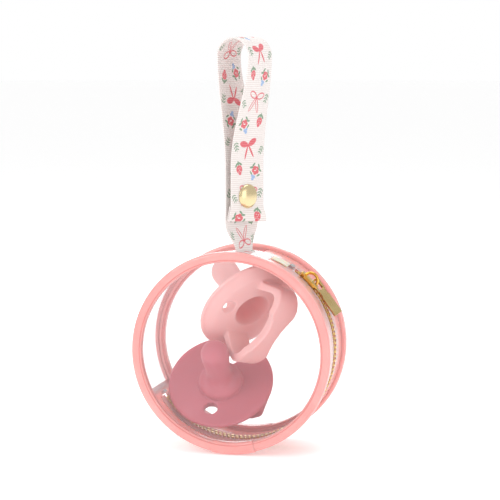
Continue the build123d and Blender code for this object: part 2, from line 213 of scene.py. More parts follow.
def pink_vinyl(name, roughness, cloud_scale, see_through, depth, pressed_line=None):
    """Glossy pink vinyl, faintly uneven; pressed_line is the radius of a line round a rim, pressed in by a
    bump with painted shade in its groove.
    """
    made, tree, shader = finish_material(name, Subsurface_Weight=depth, Subsurface_Scale=4 * depth * MM,
                                         Coat_Weight=0.35, Coat_Roughness=0.06, IOR=1.5)
    shader.inputs["Subsurface Radius"].default_value = SOFT_COLOURS
    place = node(tree, "TexCoord").outputs["Object"]
    cloud = node(tree, "TexNoise", {"Vector": place, "Scale": cloud_scale, "Detail": 3.0})
    tone = node(tree, "Mix", {"Factor": cloud.outputs["Fac"], 6: PINK, 7: PINK_DEEP}, data_type="RGBA")
    tree.links.new(tone.outputs[2], shader.inputs["Base Color"])
    worn = node(tree, "MapRange", {"Value": cloud.outputs["Fac"], "To Min": roughness - 0.05,
                                   "To Max": roughness + 0.07})
    tree.links.new(worn.outputs["Result"], shader.inputs["Roughness"])
    skin = node(tree, "TexNoise", {"Vector": place, "Scale": 260.0, "Detail": 2.0})
    bump = node(tree, "Bump", {"Height": skin.outputs["Fac"], "Strength": 0.1, "Distance": 0.3 * MM})
    if pressed_line:
        flat_place = node(tree, "VectorMath", {0: place, 1: (1, 0, 1)}, operation="MULTIPLY")
        far = node(tree, "VectorMath", {0: flat_place.outputs[0], 1: (drum.x, 0, drum.z)},
                   operation="DISTANCE")
        off_line = node(tree, "Math", {0: far.outputs["Value"], 1: pressed_line}, operation="SUBTRACT")
        beside = node(tree, "Math", {0: off_line.outputs[0]}, operation="ABSOLUTE")
        groove = node(tree, "MapRange", {"Value": beside.outputs[0], "From Max": WELD_HALF})
        bump = node(tree, "Bump", {"Height": groove.outputs["Result"], "Normal": bump.outputs["Normal"],
                                   "Strength": 0.7, "Distance": 0.3 * MM})
        # the pressed line's groove is painted darker: painted shade where the line dips
        groove_shaded = node(tree, "Mix", {"Factor": groove.outputs["Result"], 6: PINK_GROOVE_SHADE, 7: tone.outputs[2]},
                     data_type="RGBA")
        tree.links.new(groove_shaded.outputs[2], shader.inputs["Base Color"])
    tree.links.new(bump.outputs["Normal"], shader.inputs["Normal"])
    if see_through:
        body = node(tree, "MapRange", {"Value": cloud.outputs["Fac"], "To Min": 1.0 - see_through,
                                       "To Max": 1.04 - see_through})
        tree.links.new(body.outputs["Result"], shader.inputs["Alpha"])
    return made


rim_vinyl = pink_vinyl("rim_vinyl", roughness=0.2, cloud_scale=60.0, see_through=0, depth=0.4,
                       pressed_line=WELD_R)
dress(rim_vinyl, "front_rim", "back_rim", "front_rim_joint", "back_rim_joint",
      "gusset_seam_front", "gusset_seam_back")
gusset_vinyl = pink_vinyl("gusset_vinyl", roughness=0.22, cloud_scale=45.0, see_through=0.1, depth=0.9)
dress(gusset_vinyl, "pink_gusset_front", "pink_gusset_back")


# ---- Zip tape ----------------------------------------------------------------
# Two woven cotton tapes sewn under the gusset's edges carry the teeth. Their
# beaded edges show beside the chain, and one end lies on the gusset by the label.

TAPE_R = 40.55 * MM          # middle of the tape's thickness
TAPE_T = 0.45 * MM
TAPE_FAR = 7.0 * MM          # the tape's two edges, from the zip's middle line
TAPE_NEAR = 1.7 * MM
ZIP_FROM, ZIP_TO = 35.0, 236.5           # clock angles, in degrees
TAPE_RIB, TAPE_THREAD = 0.7, 0.35        # pitches of the weave, in millimetres
TAPE_SQUARES = 0.9 * MM
SMOOTH_ANGLE = math.radians(40)
CREAM = colour(238, 224, 204)
# the cream tape's painted shade, in the hollows of its weave
CREAM_SHADE = colour(214, 196, 172)


def on_drum(clock, radius, along):
    """A point by clock angle in degrees, radius from the drum's axis and place along it."""
    angle = math.radians(clock)
    return drum + Vector((radius * math.sin(angle), along, radius * math.cos(angle)))


def use(piece):
    """Make this piece the only one selected."""
    bpy.ops.object.select_all(action="DESELECT")
    piece.select_set(True)
    bpy.context.view_layer.objects.active = piece


def put_material(piece, material):
    """Give the piece one finish, and shade it smooth except across its sharp edges."""
    piece.data.materials.clear()
    piece.data.materials.append(material)
    use(piece)
    bpy.ops.object.shade_smooth_by_angle(angle=SMOOTH_ANGLE)


def apply_all(piece):
    """Apply the piece's modifiers in their order."""
    use(piece)
    for modifier in list(piece.modifiers):
        bpy.ops.object.modifier_apply(modifier=modifier.name)


def cloth(name, length, width, squares, place, thickness, start=0.0):
    """A flat cut of cloth laid by place(along, across); its UV map holds the cut in millimetres."""
    bpy.ops.object.select_all(action="DESELECT")
    along = max(2, round(length / squares))
    across = max(2, round(width / squares))
    bpy.ops.mesh.primitive_grid_add(x_subdivisions=along, y_subdivisions=across, size=1)
    piece = bpy.context.object
    piece.name = name
    cut = [((v.co.x + 0.5) * length, v.co.y * width) for v in piece.data.vertices]
    uv = piece.data.uv_layers.active.data
    for corner in piece.data.loops:
        u, v = cut[corner.vertex_index]
        uv[corner.index].uv = ((u + start) / MM, v / MM)
    for vertex, (u, v) in zip(piece.data.vertices, cut):
        vertex.co = place(u, v)
    solid = piece.modifiers.new("thickness", "SOLIDIFY")
    solid.thickness = thickness
    solid.offset = 0
    apply_all(piece)
    return piece


def thread_group():
    """Woven threads over a UV map in millimetres: ribs across the length, finer ones along it; Shade is
    painted shade, darker in the hollows between threads.
    """
    group = bpy.data.node_groups.new("woven_threads", "ShaderNodeTree")
    sides = group.interface
    sides.new_socket("Rib pitch", in_out="INPUT", socket_type="NodeSocketFloat")
    sides.new_socket("Thread pitch", in_out="INPUT", socket_type="NodeSocketFloat")
    sides.new_socket("Height", in_out="OUTPUT", socket_type="NodeSocketFloat")
    sides.new_socket("Shade", in_out="OUTPUT", socket_type="NodeSocketFloat")
    entry = group.nodes.new("NodeGroupInput")
    leave = group.nodes.new("NodeGroupOutput")
    flat = node(group, "SeparateXYZ", {0: node(group, "UVMap").outputs[0]})

    def ridges(value, pitch):
        """Smooth ridges from 0 to 1, one in each pitch."""
        turns = node(group, "Math", {0: value, 1: pitch}, operation="DIVIDE")
        angle = node(group, "Math", {0: turns.outputs[0], 1: 2 * math.pi}, operation="MULTIPLY")
        wave = node(group, "Math", {0: angle.outputs[0]}, operation="SINE")
        return node(group, "MapRange", {"Value": wave.outputs[0], "From Min": -1.0}).outputs["Result"]

    rib = ridges(flat.outputs["X"], entry.outputs["Rib pitch"])
    thread = ridges(flat.outputs["Y"], entry.outputs["Thread pitch"])
    fuzz = node(group, "TexNoise", {"Vector": node(group, "UVMap").outputs[0], "Scale": 2.5, "Detail": 3.0})
    both = node(group, "Math", {0: thread, 1: 0.3, 2: rib}, operation="MULTIPLY_ADD")
    rough = node(group, "Math", {0: fuzz.outputs["Fac"], 1: 0.35, 2: both.outputs[0]},
                 operation="MULTIPLY_ADD")
    group.links.new(rough.outputs[0], leave.inputs["Height"])
    # painted shade: darker where the threads are low, with the fuzz as random tone
    shade = node(group, "MapRange", {"Value": rough.outputs[0], "From Max": 1.5})
    group.links.new(shade.outputs["Result"], leave.inputs["Shade"])
    return group


woven = thread_group()


def threads(tree, rib, thread):
    """Place the woven threads in a material, and give back their height and their painted shade."""
    made = node(tree, "Group", node_tree=woven)
    made.inputs["Rib pitch"].default_value = rib
    made.inputs["Thread pitch"].default_value = thread
    return made.outputs["Height"], made.outputs["Shade"]


def tape_finish(name, light, dark):
    """Matt woven tape in one colour, its darker tone painted shade in the hollows of the weave."""
    made, tree, shader = finish_material(name, Roughness=0.85, Sheen_Weight=0.2, Specular_IOR_Level=0.25,
                                         Subsurface_Weight=0.5, Subsurface_Scale=2 * MM)
    height, shade = threads(tree, TAPE_RIB, TAPE_THREAD)
    tone = node(tree, "Mix", {"Factor": shade, 6: dark, 7: light}, data_type="RGBA")
    tree.links.new(tone.outputs[2], shader.inputs["Base Color"])
    bump = node(tree, "Bump", {"Height": height, "Strength": 0.5, "Distance": 0.1 * MM})
    tree.links.new(bump.outputs["Normal"], shader.inputs["Normal"])
    return made


# the second colour of each tape is its painted shade in the hollows of the weave
tape_cotton = tape_finish("tape_cotton", CREAM, CREAM_SHADE)
tape_pink = tape_finish("tape_pink", colour(240, 172, 164), colour(220, 134, 128))

arc = math.radians(ZIP_TO - ZIP_FROM) * TAPE_R
for side, sign in (("front", -1), ("back", 1)):
    middle = sign * (TAPE_FAR + TAPE_NEAR) / 2

    def along_zip(u, v, middle=middle):
        """Round the drum by u from the zip's start, along its axis by v."""
        return on_drum(ZIP_FROM + math.degrees(u / TAPE_R), TAPE_R, middle + v)

    tape = cloth("tape_" + side, arc, TAPE_FAR - TAPE_NEAR, TAPE_SQUARES, along_zip, TAPE_T)
    put_material(tape, tape_pink)
    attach(tape, "case_" + side)
    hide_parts("zip_tape_" + side)

START_FROM, START_TO = 20.5, 31.0
START_R = 41.52 * MM
START_LOW, START_HIGH = -5.7 * MM, 2.5 * MM
START_T = 0.35 * MM
START_LIFT = 0.12 * MM       # the loose end bulges this much in its middle
start_len = math.radians(START_TO - START_FROM) * START_R


def over_gusset(u, v):
    """Round the drum by u over the gusset, along its axis by v."""
    lift = START_LIFT * math.sin(u / start_len * math.pi)
    clock = START_FROM + math.degrees(u / START_R)
    return on_drum(clock, START_R + lift, (START_LOW + START_HIGH) / 2 + v)


tape_end = cloth("tape_end", start_len, START_HIGH - START_LOW, 0.5 * MM, over_gusset, START_T)
put_material(tape_end, tape_cotton)
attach(tape_end, "case_front")
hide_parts("zip_tape_start")


# ---- Zip teeth ---------------------------------------------------------------
# Brass teeth about 1.9 mm apart on each side, clamped over the tape's bead, with
# narrow heads that mesh in the middle. One tooth is made and copied along the arc.

TOOTH_STEP = 1.9 * MM
CHAIN_R = 40.55 * MM
TOOTH_SIZE = (1.1 * MM, 1.3 * MM, 1.9 * MM)
TOOTH_OUT = 1.65 * MM        # the foot's middle from the zip's middle line
TOOTH_SHOULDER = 0.12 * MM
TOOTH_NECK, TOOTH_HEAD = 0.75 * MM, 0.6 * MM
CHAIN_END = 1                # degrees left free at each end
GOLD = colour(226, 192, 122)
GOLD_DARK = colour(198, 158, 84)
FACES_THIS_WAY = 0.9         # a face counts as turned to an axis past this part of its normal
SHARP_ANGLE = math.radians(32)


def metal(name, bright, dark, roughness, brushed):
    """Plated metal with fine scratches, a little duller where the plating is worn."""
    made, tree, shader = finish_material(name, Metallic=1.0)
    place = node(tree, "TexCoord").outputs["Object"]
    grain = node(tree, "TexNoise", {"Vector": place, "Scale": brushed, "Detail": 4.0})
    tone = node(tree, "Mix", {"Factor": grain.outputs["Fac"], 6: bright, 7: dark}, data_type="RGBA")
    tree.links.new(tone.outputs[2], shader.inputs["Base Color"])
    dull = node(tree, "MapRange", {"Value": grain.outputs["Fac"], "To Min": roughness - 0.06,
                                   "To Max": roughness + 0.1})
    tree.links.new(dull.outputs["Result"], shader.inputs["Roughness"])
    bump = node(tree, "Bump", {"Height": grain.outputs["Fac"], "Strength": 0.15, "Distance": 0.05 * MM})
    tree.links.new(bump.outputs["Normal"], shader.inputs["Normal"])
    return made


tooth_brass = metal("tooth_brass", GOLD, GOLD_DARK, 0.3, 900.0)


def pick(piece, test):
    """Select the faces whose centre and normal pass the test, and open the piece for editing."""
    use(piece)
    bpy.ops.object.mode_set(mode="EDIT")
    bpy.ops.mesh.select_mode(type="FACE")
    bpy.ops.mesh.select_all(action="DESELECT")
    bpy.ops.object.mode_set(mode="OBJECT")
    for face in piece.data.polygons:
        face.select = bool(test(face.center, face.normal))
    bpy.ops.object.mode_set(mode="EDIT")


def block(name, size, centre=(0, 0, 0)):
    """A block primitive of that size, to be shaped."""
    bpy.ops.object.select_all(action="DESELECT")
    bpy.ops.mesh.primitive_cube_add(size=1, location=centre)
    piece = bpy.context.object
    piece.name = name
    piece.scale = size
    bpy.ops.object.transform_apply(location=True, rotation=False, scale=True)
    return piece


def soften(piece, width, segments=2):
    """Round the sharp edges."""
    bevel = piece.modifiers.new("rounded", "BEVEL")
    bevel.width = width
    bevel.segments = segments
    bevel.limit_method = "ANGLE"
    bevel.angle_limit = SHARP_ANGLE
    apply_all(piece)


def at_clock(clock, radius, along=0.0):
    """Axes at a clock angle: X clockwise along the rim, Y along the drum's axis, Z outwards."""
    angle = math.radians(clock)
    axes = Matrix(((math.cos(angle), 0, -math.sin(angle)), (0, 1, 0),
                   (math.sin(angle), 0, math.cos(angle)))).transposed().to_4x4()
    return Matrix.Translation(on_drum(clock, radius, along)) @ axes


tooth = block("tooth", TOOTH_SIZE, (0, -TOOTH_OUT, 0))
pick(tooth, lambda centre, normal: normal.y > FACES_THIS_WAY)
bpy.ops.mesh.inset(thickness=TOOTH_SHOULDER)
bpy.ops.mesh.extrude_region_move(TRANSFORM_OT_translate={"value": (0, TOOTH_NECK, 0)})
bpy.ops.transform.resize(value=(0.8, 1, 0.75))
bpy.ops.mesh.extrude_region_move(TRANSFORM_OT_translate={"value": (0, TOOTH_HEAD, 0)})
bpy.ops.transform.resize(value=(0.85, 1, 0.8))
bpy.ops.object.mode_set(mode="OBJECT")
soften(tooth, TOOTH_SHOULDER, 1)

step = math.degrees(TOOTH_STEP / CHAIN_R)
count = int((ZIP_TO - ZIP_FROM - 2 * CHAIN_END) / step)
for side, turn, shift in (("front", 0.0, 0.25), ("back", math.pi, 0.75)):
    row = []
    for i in range(count):
        copy = tooth.copy()
        copy.data = tooth.data.copy()
        bpy.context.scene.collection.objects.link(copy)
        where = at_clock(ZIP_FROM + CHAIN_END + step * (i + shift), CHAIN_R)
        copy.data.transform(where @ Matrix.Rotation(turn, 4, "Z"))
        row.append(copy)
    bpy.ops.object.select_all(action="DESELECT")
    for copy in row:
        copy.select_set(True)
    bpy.context.view_layer.objects.active = row[0]
    bpy.ops.object.join()
    chain = bpy.context.object
    chain.name = "teeth_" + side
    put_material(chain, tooth_brass)
    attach(chain, "case_" + side)
    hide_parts("zip_teeth_" + side)
bpy.data.objects.remove(tooth)

stop_steel = metal("stop_steel", colour(214, 214, 216), colour(160, 160, 164), 0.25, 900.0)
dress(stop_steel, "zip_top_stop", "zip_bottom_stop")


# ---- Slider and pull ---------------------------------------------------------
# A cast gold slider: two plates joined at the nose, side rails bent in over the
# teeth and an arched bail. The pull is a flat square-ended bar hung in the bail.

SLIDER_CLOCK = 46.0
PLATE_TOP = 42.65 * MM       # the plates' outer faces, from the drum's axis
PLATE_LOW = 38.45 * MM
PLATE_T = 0.8 * MM
PLATE_LEN, PLATE_WIDE = 9.0 * MM, 6.8 * MM
NOSE_SHARE, TAIL_SHARE = 0.78, 0.72      # the plate's ends, as parts of its width
TAIL_LEN = 0.6 * MM
NECK_SIZE = (1.4 * MM, 0.9 * MM, PLATE_TOP - PLATE_LOW - PLATE_T)
NECK_CLOCK = SLIDER_CLOCK - 5.4
RAIL_SIZE = (6.4 * MM, 0.6 * MM, 1.0 * MM)
RAIL_OUT = 2.9 * MM
slider_gold = metal("slider_gold", colour(240, 196, 104), colour(222, 168, 74), 0.2, 500.0)


def place_piece(piece, matrix):
    """Put the piece in its place, in its mesh."""
    piece.data.transform(matrix)


def joined(name, pieces):
    """One piece made of several."""
    bpy.ops.object.select_all(action="DESELECT")
    for piece in pieces:
        piece.select_set(True)
    bpy.context.view_layer.objects.active = pieces[0]
    bpy.ops.object.join()
    piece = bpy.context.object
    piece.name = name
    return piece


def plate(name, thickness, radius):
    """A slider plate, wide at the nose and drawn in behind the shoulders, with its corners cut."""
    made = block(name, (PLATE_LEN, PLATE_WIDE, thickness))
    pick(made, lambda centre, normal: normal.x > FACES_THIS_WAY)
    bpy.ops.transform.resize(value=(1, NOSE_SHARE, 1))
    bpy.ops.object.mode_set(mode="OBJECT")
    pick(made, lambda centre, normal: normal.x < -FACES_THIS_WAY)
    bpy.ops.transform.resize(value=(1, TAIL_SHARE, 1))
    bpy.ops.mesh.extrude_region_move(TRANSFORM_OT_translate={"value": (-TAIL_LEN, 0, 0)})
    bpy.ops.transform.resize(value=(1, 0.7, 0.9))
    bpy.ops.object.mode_set(mode="OBJECT")
    pick(made, lambda centre, normal: abs(normal.z) > FACES_THIS_WAY and centre.x > -4 * MM)
    bpy.ops.mesh.inset(thickness=0.7 * MM, depth=0.12 * MM)
    bpy.ops.object.mode_set(mode="OBJECT")
    soften(made, 0.25 * MM, 3)
    place_piece(made, at_clock(SLIDER_CLOCK, radius))
    return made


top_plate = plate("top_plate", PLATE_T, PLATE_TOP - PLATE_T / 2)
low_plate = plate("low_plate", PLATE_T, PLATE_LOW + PLATE_T / 2)
neck = block("neck", NECK_SIZE)
soften(neck, 0.2 * MM)
place_piece(neck, at_clock(NECK_CLOCK, (PLATE_TOP + PLATE_LOW) / 2))
rails = []
for sign in (-1, 1):
    rail = block("rail", RAIL_SIZE, (0.4 * MM, sign * RAIL_OUT, -0.4 * MM))
    soften(rail, 0.2 * MM)
    place_piece(rail, at_clock(SLIDER_CLOCK, PLATE_TOP - PLATE_T / 2))
    rails.append(rail)
slider = joined("slider", [top_plate, low_plate, neck] + rails)
put_material(slider, slider_gold)
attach(slider, "slider")
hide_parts("zip_slider")

BAIL_R, BAIL_WIRE = 2.9 * MM, 0.62 * MM
BAIL_LONG, BAIL_LOW, BAIL_BROAD = 1.05, 0.72, 1.35       # how the round arch is stretched
BAIL_SUNK = 0.45 * MM        # its feet go into the plate
bpy.ops.object.select_all(action="DESELECT")
bpy.ops.mesh.primitive_torus_add(major_segments=48, minor_segments=16, major_radius=BAIL_R,
                                 minor_radius=BAIL_WIRE, rotation=(math.pi / 2, 0, 0))
bail = bpy.context.object
bail.name = "bail"
bail.scale = (BAIL_LONG, 1.0, BAIL_LOW)
bpy.ops.object.transform_apply(location=False, rotation=True, scale=True)
pick(bail, lambda centre, normal: True)
bpy.ops.mesh.bisect(plane_co=(0, 0, -BAIL_SUNK), plane_no=(0, 0, 1), use_fill=True, clear_inner=True)
bpy.ops.mesh.select_all(action="SELECT")
bpy.ops.transform.resize(value=(1, BAIL_BROAD, 1))
bpy.ops.object.mode_set(mode="OBJECT")
place_piece(bail, at_clock(SLIDER_CLOCK, PLATE_TOP))
put_material(bail, slider_gold)
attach(bail, "slider")
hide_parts("slider_bail")

PULL_CLOCK = 47.6
PULL_R = 43.65 * MM
PULL_LEAN = math.radians(6.0)
PULL_ROLL = math.radians(30.0)           # the bar has tipped to one side in its eye
PULL_LEN, PULL_W, PULL_T = 18.0 * MM, 5.0 * MM, 1.0 * MM
PULL_BEHIND = 0.5 * MM       # the bar starts this far behind the point it hangs from
CUT_DEEP = 4 * MM
EYE_SIZE, EYE_AT = (4.2 * MM, 2.7 * MM, CUT_DEEP), 2.6 * MM
WAIST_SIZE, WAIST_AT, WAIST_OUT = (2.6 * MM, 2 * MM, CUT_DEEP), 6.6 * MM, 3.0 * MM
pull = block("pull_bar", (PULL_LEN, PULL_W, PULL_T), (PULL_LEN / 2 - PULL_BEHIND, 0, 0))
cutters = [block("cut_eye", EYE_SIZE, (EYE_AT, 0, 0)),
           block("cut_waist", WAIST_SIZE, (WAIST_AT, WAIST_OUT, 0)),
           block("cut_waist", WAIST_SIZE, (WAIST_AT, -WAIST_OUT, 0))]
for cutter in cutters:
    soften(cutter, 0.5 * MM, 3)
    cut = pull.modifiers.new("cut", "BOOLEAN")
    cut.operation = "DIFFERENCE"
    cut.solver = "EXACT"
    cut.object = cutter
    apply_all(pull)
    bpy.data.objects.remove(cutter)
soften(pull, 0.16 * MM)
hung = Matrix.Rotation(PULL_LEAN, 4, "Y") @ Matrix.Rotation(PULL_ROLL, 4, "X")
place_piece(pull, at_clock(PULL_CLOCK, PULL_R) @ hung)
pull_champagne = metal("pull_champagne", colour(224, 200, 146), colour(196, 168, 112), 0.24, 300.0)
put_material(pull, pull_champagne)
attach(pull, "pull")
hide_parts("pull_tab")


# ---- Label -------------------------------------------------------------------
# A blank white satin label beside the strap, laid flat over the gusset and the
# zip's tape. It is cut from a roll, and its far end has rounded corners.

LABEL_R = 41.5 * MM
LABEL_FROM, LABEL_TO = 8.5, 20.0
LABEL_LOW, LABEL_HIGH = -15.8 * MM, 2.4 * MM
LABEL_T = 0.2 * MM
LABEL_ROUND = 3 * MM         # length over which the far end's corners are rounded
LABEL_DRAWN = 0.55
LABEL_LIFT = 0.1 * MM
label_len = LABEL_HIGH - LABEL_LOW
label_wide = math.radians(LABEL_TO - LABEL_FROM) * LABEL_R


def on_top(u, v):
    """Along the drum's axis by u, round it by v; the corners at the far end are rounded."""
    near_end = max(0.0, (u - label_len + LABEL_ROUND) / LABEL_ROUND)
    v *= math.sqrt(max(0.0, 1 - LABEL_DRAWN * near_end ** 2))
    lift = LABEL_LIFT * math.sin(u / MM * 0.9 + v / MM * 0.4)
    clock = (LABEL_FROM + LABEL_TO) / 2 + math.degrees(v / LABEL_R)
    return on_drum(clock, LABEL_R + lift, LABEL_LOW + u)


label = cloth("satin_label", label_len, label_wide, 0.4 * MM, on_top, LABEL_T)
white_satin, tree, shader = finish_material("white_satin", Roughness=0.38, Sheen_Weight=0.3,
                                            Anisotropic=0.4)
height, shade = threads(tree, 0.22, 0.16)
# the darker colour is painted shade in the hollows of the satin's weave
tone = node(tree, "Mix", {"Factor": shade, 6: colour(214, 210, 209), 7: colour(240, 239, 238)},
            data_type="RGBA")
tree.links.new(tone.outputs[2], shader.inputs["Base Color"])
bump = node(tree, "Bump", {"Height": height, "Strength": 0.25, "Distance": 0.05 * MM})
tree.links.new(bump.outputs["Normal"], shader.inputs["Normal"])
put_material(label, white_satin)
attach(label, "case_front")
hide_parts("label")


# ---- Ribbon strap ------------------------------------------------------------
# One length of printed grosgrain, 18 mm wide: sewn to the gusset at its foot, up
# the back, over the top and down the front to a folded end that snaps to the back.

RIBBON_W = 18.0 * MM
RIBBON_T = 0.55 * MM
CROWN_R = 7.8 * MM           # the loop's half-circle at the top, and its middle
CROWN_Z = -7.5 * MM
SNAP_Z = -66.5 * MM
SNAP_S = 1.8 * MM            # each strand's distance from the loop's middle at the snap
SNAP_FACING = 55.0           # degrees the snap faces away from the front
BEND_Z = -54.0 * MM          # the strands run side by side below this
FOOT_TOP_Z = -78.0 * MM
FOOT_Z = -90.2 * MM
FLAP_Z = -76.5 * MM
HEM = 6.0 * MM
TURN_TOP, TURN_SNAP, TURN_FOOT = 70.0, 54.0, 82.0        # the ribbon's turn about the upright
FOOT_DRAWN = 0.13            # part of its width lost where it is gathered at the foot
FOOT_CURL = 0.9 * MM
STRAND_WAVE = 0.25 * MM
KICK_FROM = SNAP_Z - 4 * MM  # the folded end curls forward below this
KICK_OUT, KICK_DOWN, KICK_TURN = 1.3 * MM, 0.8 * MM, 9       # outwards, down, and in degrees


def ease(t):
    """Go smoothly from 0 to 1."""
    t = min(1.0, max(0.0, t))
    return t * t * (3 - 2 * t)


def turned_point(s, w, z, turn):
    """A point s along the loop's direction and w across the ribbon, turned about the upright."""
    angle = math.radians(turn)
    return Vector((s * math.sin(angle) + w * math.cos(angle),
                   -s * math.cos(angle) + w * math.sin(angle), z))


def turn_at(z):
    """The ribbon's turn about the upright at a height."""
    if z > BEND_Z:
        return TURN_SNAP + (TURN_TOP - TURN_SNAP) * ease((z - BEND_Z) / (CROWN_Z - BEND_Z))
    if z > FOOT_TOP_Z:
        return TURN_SNAP
    return TURN_SNAP + (TURN_FOOT - TURN_SNAP) * ease((FOOT_TOP_Z - z) / (FOOT_TOP_Z - FOOT_Z))


def strand(z):
    """How far a strand stands from the loop's middle at a height."""
    return SNAP_S + (CROWN_R - SNAP_S) * ease((z - BEND_Z) / (CROWN_Z - BEND_Z))


LOWER_LEN = CROWN_Z - FOOT_Z


def lower(u, v):
    """The back strand, from the foot to where the crown starts."""
    z = FOOT_Z + u
    low = ease((FOOT_TOP_Z - z) / (FOOT_TOP_Z - FOOT_Z))
    w = v * (1 - FOOT_DRAWN * low)
    s = -strand(z) * (1 - low)
    s += FOOT_CURL * low * math.sin(w / RIBBON_W * 2 * math.pi)
    s += STRAND_WAVE * math.sin(z / MM * 0.12) * (w / RIBBON_W)
    return turned_point(s, w, z, turn_at(z))


CROWN_LEN = math.pi * CROWN_R
FRONT_LEN = CROWN_Z - FLAP_Z
FOLD_R = 0.45 * MM


def upper(u, v):
    """The crown, the front strand and the fold at its end."""
    if u < CROWN_LEN:
        angle = u / CROWN_R
        return turned_point(-CROWN_R * math.cos(angle), v, CROWN_Z + CROWN_R * math.sin(angle), TURN_TOP)
    run = u - CROWN_LEN
    fold = math.pi * FOLD_R
    if run < FRONT_LEN:
        z, inner = CROWN_Z - run, 0.0
    elif run < FRONT_LEN + fold:
        angle = (run - FRONT_LEN) / FOLD_R
        z, inner = FLAP_Z - FOLD_R * math.sin(angle), FOLD_R * (1 - math.cos(angle))
    else:
        z, inner = FLAP_Z + (run - FRONT_LEN - fold), 2 * FOLD_R
    kick = ease((KICK_FROM - z) / (KICK_FROM - FLAP_Z))
    s = strand(z) - inner + KICK_OUT * kick * (0.6 + v / RIBBON_W)
    turn = turn_at(max(z, BEND_Z)) - KICK_TURN * kick
    return turned_point(s, v, z - KICK_DOWN * kick * v / RIBBON_W, turn)


ribbon_back = cloth("ribbon_back", LOWER_LEN, RIBBON_W, 0.8 * MM, lower, RIBBON_T)
upper_len = CROWN_LEN + FRONT_LEN + math.pi * FOLD_R + HEM
ribbon_front = cloth("ribbon_front", upper_len, RIBBON_W, 0.45 * MM, upper, RIBBON_T, LOWER_LEN)


def print_group(name, outputs):
    """A new node group with one vector input and the named masks as outputs."""
    group = bpy.data.node_groups.new(name, "ShaderNodeTree")
    group.interface.new_socket("Vector", in_out="INPUT", socket_type="NodeSocketVector")
    for output in outputs:
        group.interface.new_socket(output, in_out="OUTPUT", socket_type="NodeSocketFloat")
    entry = group.nodes.new("NodeGroupInput")
    leave = group.nodes.new("NodeGroupOutput")
    return group, entry.outputs["Vector"], leave


def spot(tree, vector, x, y, turn, wide, tall):
    """Mask of an oval spot of print: its middle, its turn in degrees and its half sizes."""
    local = node(tree, "Mapping", {"Vector": vector, "Location": (x, y, 0),
                                   "Rotation": (0, 0, math.radians(turn)), "Scale": (wide, tall, 1)},
                 vector_type="TEXTURE")
    reach = node(tree, "VectorMath", {0: local.outputs[0]}, operation="LENGTH").outputs["Value"]
    edge = node(tree, "MapRange", {"Value": reach, "From Min": 1.08, "From Max": 0.9})
    return edge.outputs["Result"]


def sums(tree, operation, first, second):
    """Put two masks together."""
    return node(tree, "Math", {0: first, 1: second}, operation=operation, use_clamp=True).outputs[0]


def spots(tree, vector, ovals):
    """Mask of several oval spots together."""
    total = 0.0
    for oval in ovals:
        total = sums(tree, "MAXIMUM", spot(tree, vector, *oval), total)
    return total


def mirrored(tree, vector):
    """The same place on the right half, so that one half of a motif draws both."""
    parts = node(tree, "SeparateXYZ", {0: vector})
    half = node(tree, "Math", {0: parts.outputs["X"]}, operation="ABSOLUTE").outputs[0]
    return node(tree, "CombineXYZ", {"X": half, "Y": parts.outputs["Y"]}).outputs[0]


# Each oval of a motif is (x, y, turn, half width, half height), in millimetres and degrees.
bow_fill, vector, leave = print_group("bow_filled", ["Mask"])
half = mirrored(bow_fill, vector)
bow_fill.links.new(spots(bow_fill, half, [(0, 0, 0, 0.8, 0.7), (2.2, -0.9, -22, 2.2, 1.25),
                                          (1.25, 2.6, -22, 0.42, 2.9)]), leave.inputs["Mask"])

bow_line, vector, leave = print_group("bow_outlined", ["Mask"])
half = mirrored(bow_line, vector)
whole = spots(bow_line, half, [(2.3, -1.0, -20, 2.35, 1.3), (1.4, 2.7, -26, 0.75, 3.1)])
inner = spots(bow_line, half, [(2.35, -1.0, -20, 1.85, 0.85), (1.45, 2.8, -26, 0.38, 2.7)])
outline = sums(bow_line, "SUBTRACT", whole, inner)
knot = spot(bow_line, half, 0, 0, 0, 0.65, 0.6)
bow_line.links.new(sums(bow_line, "MAXIMUM", outline, knot), leave.inputs["Mask"])

berry, vector, leave = print_group("berry", ["Red", "Green"])
half = mirrored(berry, vector)
heart = spots(berry, half, [(0.35, -0.2, 0, 1.1, 1.5), (0, 0.9, 0, 0.8, 1.2)])
seeds = spots(berry, half, [(0.45, -0.6, 0, 0.2, 0.24), (0, 0.2, 0, 0.2, 0.24),
                            (0.5, 0.8, 0, 0.2, 0.24)])
pale = node(berry, "Math", {0: seeds, 1: 0.6}, operation="MULTIPLY").outputs[0]
berry.links.new(sums(berry, "SUBTRACT", heart, pale), leave.inputs["Red"])
berry.links.new(spots(berry, half, [(0.95, -2.1, -45, 0.4, 1.05), (0, -2.5, 0, 0.35, 0.95)]),
                leave.inputs["Green"])

rose, vector, leave = print_group("rose", ["Red", "Green", "Blue"])
half = mirrored(rose, vector)
petals = spots(rose, half, [(0, 1.05, 0, 0.95, 0.95), (1.0, 0.32, 0, 0.95, 0.95),
                            (0.62, -0.85, 0, 0.95, 0.95)])
eye = spots(rose, vector, [(0.1, 0.1, 20, 0.62, 0.26), (-0.5, -0.7, -40, 0.4, 0.16)])
rose.links.new(sums(rose, "SUBTRACT", petals, eye), leave.inputs["Red"])
rose.links.new(spots(rose, half, [(2.3, -0.7, -70, 0.45, 1.15), (1.5, -2.1, -30, 0.42, 1.1),
                                  (2.1, 1.7, -130, 0.4, 1.0)]), leave.inputs["Green"])
rose.links.new(spots(rose, vector, [(0.2, 2.9, 0, 0.8, 0.7), (1.2, 2.7, 0, 0.6, 0.6),
                                    (0.7, 3.9, 0, 0.75, 0.7)]), leave.inputs["Blue"])

sprig, vector, leave = print_group("sprig", ["Mask"])
half = mirrored(sprig, vector)
sprig.links.new(spots(sprig, half, [(0, 0, 0, 0.16, 2.4), (0.75, -1.5, -48, 0.28, 0.8),
                                    (0.75, -0.2, -48, 0.28, 0.8), (0.7, 1.1, -48, 0.26, 0.7)]),
               leave.inputs["Mask"])

